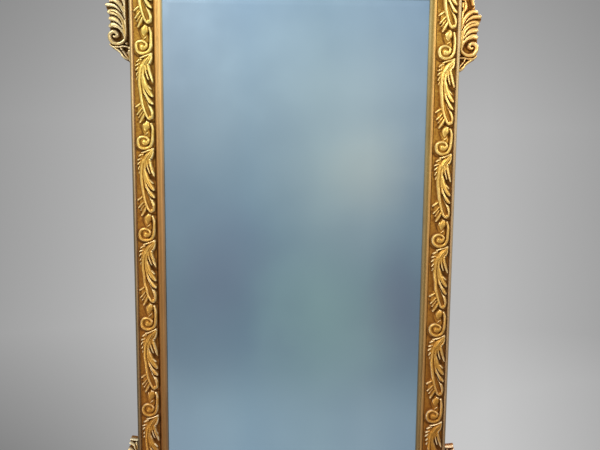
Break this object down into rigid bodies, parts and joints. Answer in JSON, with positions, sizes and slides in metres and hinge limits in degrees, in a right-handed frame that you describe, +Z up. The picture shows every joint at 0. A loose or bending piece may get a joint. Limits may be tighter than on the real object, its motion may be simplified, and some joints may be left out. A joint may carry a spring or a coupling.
{
  "type": "pier mirror",
  "caption": "Tall bevelled mirror plate in a gilt carved frame with a running acanthus frieze, carved ears, a crest and an apron, hung on a wall from rings on its back.",
  "frame": {"origin": "middle of the back face, on the wall", "axes": "+X to the right as seen from the front, +Y into the wall, +Z up; the glass faces -Y"},
  "size_m": [0.896, 0.0432, 1.672],
  "materials": {
    "gilt_moulding": "water gilding over bole, worn on the beads",
    "gilt_carving": "burnished and matt gilding, dark in the hollows",
    "mirror": "old silvered plate with a bevel",
    "back_wood": "bare sawn softwood, darkened by age",
    "pale_wood": "bare planed softwood",
    "steel": "dull"
  },
  "bodies": {
    "frame": {"stile_left": "gilt_moulding", "stile_right": "gilt_moulding", "rail_top": "gilt_moulding", "rail_bottom": "gilt_moulding", "corner_key_top_left": "pale_wood", "corner_key_top_right": "pale_wood", "corner_key_bottom_left": "pale_wood", "corner_key_bottom_right": "pale_wood", "frieze_left": "gilt_carving", "frieze_right": "gilt_carving", "frieze_top": "gilt_carving", "frieze_bottom": "gilt_carving", "corner_leaf_top_left": "gilt_carving", "corner_leaf_top_right": "gilt_carving", "corner_leaf_bottom_left": "gilt_carving", "corner_leaf_bottom_right": "gilt_carving", "ear_top_left": "gilt_carving", "ear_top_right": "gilt_carving", "ear_bottom_left": "gilt_carving", "ear_bottom_right": "gilt_carving", "ear_dowels": "pale_wood", "crest_shell": "gilt_carving", "crest_scroll_left": "gilt_carving", "crest_scroll_right": "gilt_carving", "apron_shell": "gilt_carving", "apron_scroll_left": "gilt_carving", "apron_scroll_right": "gilt_carving", "crest_cleat_left": "pale_wood", "crest_cleat_middle": "pale_wood", "crest_cleat_right": "pale_wood", "apron_cleat_left": "pale_wood", "apron_cleat_middle": "pale_wood", "apron_cleat_right": "pale_wood", "cleat_screws": "steel", "mirror_plate": "mirror", "setting_blocks": "pale_wood", "back_board_top": "back_wood", "back_board_middle": "back_wood", "back_board_bottom": "back_wood", "back_board_screws": "steel", "hanger_strap_left": "steel", "hanger_strap_right": "steel", "hanger_screws": "steel"},
    "ring_left": {"hanger_ring_left": "steel"},
    "ring_right": {"hanger_ring_right": "steel"}
  },
  "joints": [
    {"name": "ring_left_swing", "type": "hinge", "parent": "frame", "child": "ring_left", "pos_m": [-0.3655, -0.00318, 0.38], "axis": [1, 0, 0], "range_deg": [0, 180]},
    {"name": "ring_right_swing", "type": "hinge", "parent": "frame", "child": "ring_right", "pos_m": [0.3655, -0.00318, 0.38], "axis": [1, 0, 0], "range_deg": [0, 180]}
  ]
}
